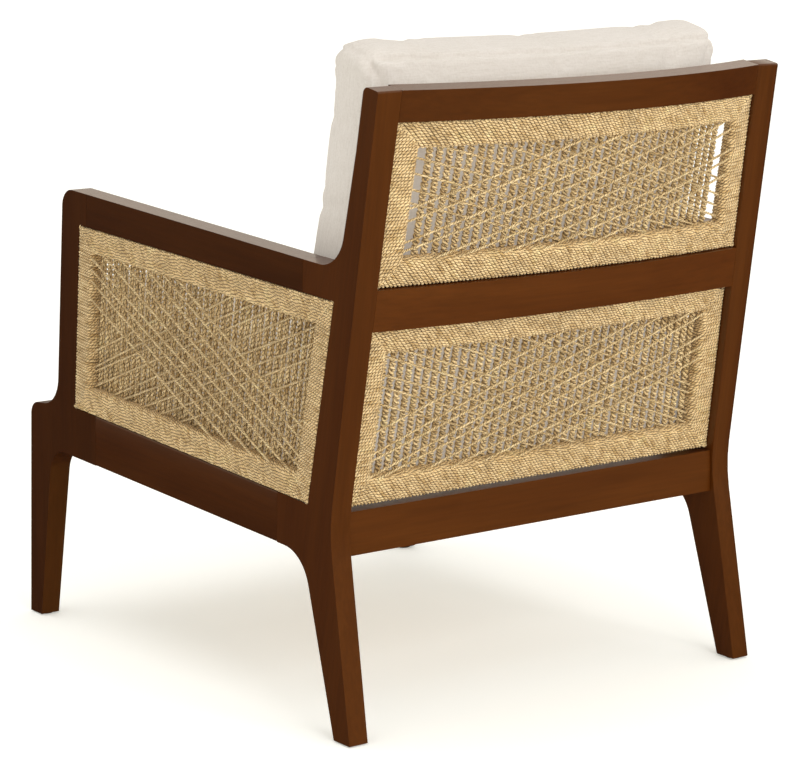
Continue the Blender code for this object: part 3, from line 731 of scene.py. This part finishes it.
# ================================================================ cushions
def linen(name):
    """Off-white plain weave with slubs, in the cushion's own axes, with a painted glow that lifts
    its faces in shade.
    """
    made, tree, shader = new_material(name)
    coords = node(tree, "ShaderNodeTexCoord")
    parts = node(tree, "ShaderNodeSeparateXYZ")
    link(tree, coords.outputs["Object"], parts.inputs["Vector"])
    waves = []
    for axis in "XYZ":
        scaled = maths(tree, "MULTIPLY", parts.outputs[axis], 2.0 * math.pi / THREAD_PITCH)
        waves.append(maths(tree, "SINE", scaled))
    weave = maths(tree, "MULTIPLY", waves[0], waves[2])
    for a, b in ((0, 1), (1, 2)):
        weave = maths(tree, "ADD", weave, maths(tree, "MULTIPLY", waves[a], waves[b]))
    slubs = []
    for squeeze in ((9.0, 9.0, 1.0), (1.0, 9.0, 9.0)):
        drawn = node(tree, "ShaderNodeMapping")
        drawn.inputs["Scale"].default_value = squeeze
        link(tree, coords.outputs["Object"], drawn.inputs["Vector"])
        slubs.append(noise(tree, drawn.outputs["Vector"], 46.0, 3.0, 0.6))
    slub = maths(tree, "ADD", slubs[0], slubs[1])
    cloudy = noise(tree, coords.outputs["Object"], 7.0, 3.0, 0.5)
    colour = ramp(tree, maths(tree, "MULTIPLY", slub, 0.5), (
        (0.34, (0.46, 0.425, 0.385)), (0.52, (0.53, 0.495, 0.46)), (0.68, (0.57, 0.54, 0.51))))
    shade = ramp(tree, cloudy, ((0.30, (0.95, 0.945, 0.93)), (0.60, (1.0, 1.0, 1.0))))
    link(tree, mix_colours(tree, 1.0, colour, shade, "MULTIPLY"), shader.inputs["Base Color"])
    shader.inputs["Roughness"].default_value = 0.88
    shader.inputs["Sheen Weight"].default_value = 0.25
    shader.inputs["Sheen Roughness"].default_value = 0.5
    shader.inputs["Specular IOR Level"].default_value = 0.25
    # Painted light: a warm glow lifts the cover where it lies in shade behind the webs. The base
    # colour above is held low so that the lit faces stay as bright.
    shader.inputs["Emission Color"].default_value = (1.0, 0.90, 0.78, 1.0)
    shader.inputs["Emission Strength"].default_value = 0.24
    height = maths(tree, "ADD", weave, maths(tree, "MULTIPLY", slub, 2.0))
    bump(tree, height, 0.35, 0.0004, shader)
    return made


def read_points(mesh):
    """The mesh's points, one row each."""
    points = np.zeros(len(mesh.vertices) * 3)
    mesh.vertices.foreach_get("co", points)
    return points.reshape(-1, 3)


def write_points(mesh, points):
    mesh.vertices.foreach_set("co", points.reshape(-1).astype(np.float32))
    mesh.update()


def axes_of(half):
    """The thin axis of a cushion and its two wide ones."""
    thin = int(np.argmin(half))
    return thin, [axis for axis in range(3) if axis != thin]


def settled(obj):
    """The object's mesh with its modifiers applied; the object itself goes."""
    held = obj.evaluated_get(bpy.context.evaluated_depsgraph_get())
    mesh = bpy.data.meshes.new_from_object(held)
    bpy.data.objects.remove(obj)
    return mesh


def remeshed_box(name, half, rounding, voxel):
    """A soft box in even quads: sides drawn in between the corners, corners pinched."""
    bm = bmesh.new()
    bmesh.ops.create_cube(bm, size=2.0, matrix=Matrix.Diagonal((*half, 1.0)))
    bmesh.ops.bevel(
        bm, geom=bm.edges[:], offset=rounding, offset_type="OFFSET", segments=6,
        profile=0.5, affect="EDGES", clamp_overlap=False)
    raw = add_object(name, finish_mesh(bm, name))
    voxels = raw.modifiers.new("voxels", "REMESH")
    voxels.mode = "VOXEL"
    voxels.voxel_size = voxel
    bpy.context.view_layer.update()
    shape = settled(raw)
    points = read_points(shape)
    thin, (u, v) = axes_of(half)
    share = np.clip(points / np.array(half), -1.0, 1.0)
    corner = (share[:, u] * share[:, v]) ** 8
    points[:, u] -= SIDE_PULL * share[:, u] ** 3 * (1.0 - share[:, v] ** 2)
    points[:, v] -= SIDE_PULL * share[:, v] ** 3 * (1.0 - share[:, u] ** 2)
    points[:, u] += CORNER_EAR * np.sign(share[:, u]) * corner
    points[:, v] += CORNER_EAR * np.sign(share[:, v]) * corner
    points[:, thin] *= 1.0 - CORNER_PINCH * corner
    write_points(shape, points)
    return shape


def inflate(mesh, cap):
    """Let the cover swell under its filling, each point moving at most cap."""
    rest = read_points(mesh)
    scene = bpy.context.scene
    work = add_object("cover", mesh)
    cloth = work.modifiers.new("cloth", "CLOTH")
    settings = cloth.settings
    settings.quality = 5
    settings.mass = 0.3
    settings.tension_stiffness = 12.0
    settings.compression_stiffness = 4.0
    settings.shear_stiffness = 3.0
    settings.bending_stiffness = 0.15
    settings.use_pressure = True
    settings.uniform_pressure_force = PRESSURE
    settings.effector_weights.gravity = 0.0
    cloth.collision_settings.use_collision = False
    cloth.collision_settings.use_self_collision = False
    for step in range(1, CLOTH_STEPS + 1):
        scene.frame_set(step)
    moved = read_points(settled(work)) - rest
    scene.frame_set(1)
    moved -= moved.mean(0)
    _, wide = axes_of(np.abs(rest).max(0))
    moved[:, wide] *= SIDE_GIVE
    reach = np.linalg.norm(moved, axis=1, keepdims=True)
    moved *= np.minimum(1.0, cap / np.maximum(reach, 1e-9))
    return rest, rest + moved


def fitted(points, half, crown):
    """Bring the filled cover to size, measured at the middle of its sides."""
    thin, _ = axes_of(half)
    wanted = np.array(half)
    wanted[thin] += crown
    scaled = points.copy()
    for axis in range(3):
        others = [other for other in range(3) if other not in (axis, thin)]
        central = np.all(np.abs(points[:, others]) < 0.3 * np.array(half)[others], axis=1)
        scaled[:, axis] *= wanted[axis] / np.abs(points[central, axis]).max()
    return scaled


def cushion(name, half, crown, cap, rounding, voxel, creases, base_flat, seed):
    """A filled and sewn cover in its own axes, centred on its middle."""
    mesh = remeshed_box(name, half, rounding, voxel)
    rest, points = inflate(mesh, cap)
    points = fitted(points, half, crown)
    write_points(mesh, points)
    store = mesh.attributes.new("rest", "FLOAT_VECTOR", "POINT")
    store.data.foreach_set("vector", rest.reshape(-1).astype(np.float32))
    work = add_object(name, mesh)
    finer = work.modifiers.new("finer", "SUBSURF")
    finer.levels = 1
    finer.render_levels = 1
    bpy.context.view_layer.update()
    fine = settled(work)
    fine.name = name
    sew(fine, half, rounding, creases, base_flat, seed)
    return fine


def seam_relief(rest, half, rounding):
    """How far each point stands out for the seams round both broad faces."""
    thin, wide = axes_of(half)
    room = half - np.abs(rest)
    beside = np.minimum(room[:, wide[0]], room[:, wide[1]])
    seam = (room[:, thin] - beside) / math.sqrt(2.0)
    near = np.hypot(room[:, thin], beside) < 0.414 * rounding + 0.012
    sink = SEAM_SINK * np.exp(-(seam / SEAM_HALF_WIDTH) ** 2)
    rise = WELT_RISE * np.exp(-((np.abs(seam) - WELT_OFF) / WELT_HALF_WIDTH) ** 2)
    return (rise - sink) * near


def crease_relief(rest, half, creases, rng):
    """How far each point stands out for the creases that run in from the corners."""
    _, wide = axes_of(half)
    shift = np.zeros(len(rest))
    for u_sign in (-1, 1):
        for v_sign in (-1, 1):
            corner = np.array([u_sign * half[wide[0]], v_sign * half[wide[1]]])
            flat = rest[:, wide] - corner
            far = np.linalg.norm(flat, axis=1)
            bearing = np.arctan2(flat[:, 1] * -v_sign, flat[:, 0] * -u_sign)
            for _ in range(creases):
                aim = rng.uniform(0.25, 1.30)
                length = rng.uniform(0.045, 0.095)
                bend = rng.uniform(-3.0, 3.0)
                width = rng.uniform(0.004, 0.007)
                off = far * np.sin(bearing - aim - bend * far)
                along = np.clip(far / length, 0.0, 1.0)
                depth = CREASE_DEPTH * np.sin(math.pi * along) * (far < length)
                shift -= depth * np.exp(-(off / width) ** 2)
                shift += 0.5 * depth * np.exp(-((off - 1.9 * width) / width) ** 2)
    return shift


def sew(mesh, half, rounding, creases, base_flat, seed):
    """Press in the seams and the creases, and flatten the face that lies on something."""
    points = read_points(mesh)
    rest = np.zeros(len(mesh.vertices) * 3)
    mesh.attributes["rest"].data.foreach_get("vector", rest)
    rest = rest.reshape(-1, 3)
    normals = np.zeros(len(mesh.vertices) * 3)
    mesh.vertices.foreach_get("normal", normals)
    normals = normals.reshape(-1, 3)
    half = np.array(half)
    thin, _ = axes_of(half)
    shift = seam_relief(rest, half, rounding)
    shift += crease_relief(rest, half, creases, np.random.default_rng(seed))
    points += normals * shift[:, None]
    if base_flat is not None:
        low = points[:, thin] < base_flat
        points[low, thin] = base_flat + (points[low, thin] - base_flat) * 0.08
    write_points(mesh, points)
    mesh.attributes.remove(mesh.attributes["rest"])
    mesh.shade_smooth()


def make_cushions():
    """The two loose cushions, each riding on its own body."""
    low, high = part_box("seat_cushion")
    middle = (low + high) / 2.0
    mesh = cushion(
        "seat_cushion_cover", SEAT_HALF, SEAT_CROWN, SEAT_CAP, SEAT_ROUNDING, SEAT_VOXEL,
        SEAT_CREASES, SEAT_FLAT, 3)
    seat = add_object("seat_cushion_cover", mesh)
    seat.matrix_world = Matrix.Translation(middle) @ Matrix.Rotation(math.atan(SEAT_SLOPE), 4, "X")
    mesh = cushion(
        "back_cushion_cover", BACK_HALF, BACK_CROWN, BACK_CAP, BACK_ROUNDING, BACK_VOXEL,
        BACK_CREASES, None, 11)
    back = add_object("back_cushion_cover", mesh)
    up = Vector((0, math.sin(BACK_RAKE), math.cos(BACK_RAKE)))
    middle = Vector(BACK_BASE) + up * BACK_HALF[2]
    back.matrix_world = Matrix.Translation(middle) @ Matrix.Rotation(-BACK_RAKE, 4, "X")
    for piece, body, fill in ((seat, "seat_cushion", 0.85), (back, "back_cushion", 0.8)):
        piece.data.materials.clear()
        piece.data.materials.append(linen(piece.name + "_linen"))
        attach(piece, body)
        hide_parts(body)


# ================================================================ camera and studio
def aim(obj, direction):
    """Turn a camera or a lamp to look along a direction."""
    obj.rotation_euler = Vector(direction).to_track_quat("-Z", "Y").to_euler()


def make_camera():
    """The camera behind the chair, on the sitter's left."""
    data = bpy.data.cameras.new("camera")
    data.sensor_width = SENSOR
    data.sensor_fit = "HORIZONTAL"
    data.lens = LENS
    camera = add_object("camera", data)
    camera.location = CAMERA_AT
    flat = math.cos(CAMERA_PITCH)
    aim(camera, (flat * math.cos(CAMERA_YAW), flat * math.sin(CAMERA_YAW), -math.sin(CAMERA_PITCH)))
    bpy.context.scene.camera = camera


def make_world():
    """A white room to the camera, a warm one to the surfaces and a brighter band in reflections."""
    world = bpy.data.worlds.new("studio")
    bpy.context.scene.world = world
    world.use_nodes = True
    tree = world.node_tree
    background = tree.nodes["Background"]
    background.inputs["Strength"].default_value = 1.0
    path = node(tree, "ShaderNodeLightPath")
    coords = node(tree, "ShaderNodeTexCoord")
    parts = node(tree, "ShaderNodeSeparateXYZ")
    link(tree, coords.outputs["Generated"], parts.inputs["Vector"])
    above = ramp(tree, parts.outputs["Z"], ((0.02, (0.02, 0.02, 0.02)), (0.16, (1.25, 1.12, 0.95))))
    behind = ramp(tree, parts.outputs["Y"], ((0.30, (0.0, 0.0, 0.0)), (0.70, (0.50, 0.24, 0.05))))
    mirrored = mix_colours(tree, 1.0, above, behind, "LIGHTEN")
    ambient = mix_colours(tree, path.outputs["Is Glossy Ray"], (0.66, 0.645, 0.61), mirrored)
    seen = mix_colours(tree, path.outputs["Is Camera Ray"], ambient, (1.0, 1.0, 1.0))
    link(tree, seen, background.inputs["Color"])


def make_floor():
    """A pale floor that reaches out of sight."""
    bm = bmesh.new()
    bmesh.ops.create_grid(bm, x_segments=1, y_segments=1, size=30.0)
    floor = add_object("floor", finish_mesh(bm, "floor"))
    made, _, shader = new_material("floor_paper")
    shader.inputs["Base Color"].default_value = (0.92, 0.915, 0.90, 1.0)
    shader.inputs["Roughness"].default_value = 0.9
    shader.inputs["Specular IOR Level"].default_value = 0.1
    shader.inputs["Emission Color"].default_value = (0.97, 1.0, 0.92, 1.0)
    shader.inputs["Emission Strength"].default_value = 0.34
    floor.visible_glossy = False
    floor.data.materials.append(made)


def make_lamps():
    """A wide soft sun overhead and a large soft panel behind the chair."""
    data = bpy.data.lights.new("overhead", "SUN")
    data.energy = 0.75
    data.angle = math.radians(50)
    overhead = add_object("overhead", data)
    aim(overhead, (-0.06, 0.10, -1.0))
    data = bpy.data.lights.new("fill", "AREA")
    data.shape = "SQUARE"
    data.size = 3.4
    data.energy = 125.0
    fill = add_object("fill", data)
    fill.location = FILL_AT
    aim(fill, Vector(FILL_TOWARDS) - Vector(FILL_AT))
    for lamp in (overhead, fill):
        lamp.visible_glossy = False


make_camera()
bpy.context.scene.view_settings.view_transform = "Standard"
make_world()
make_floor()
make_lamps()
dress_nodes()
make_panels()
make_cushions()
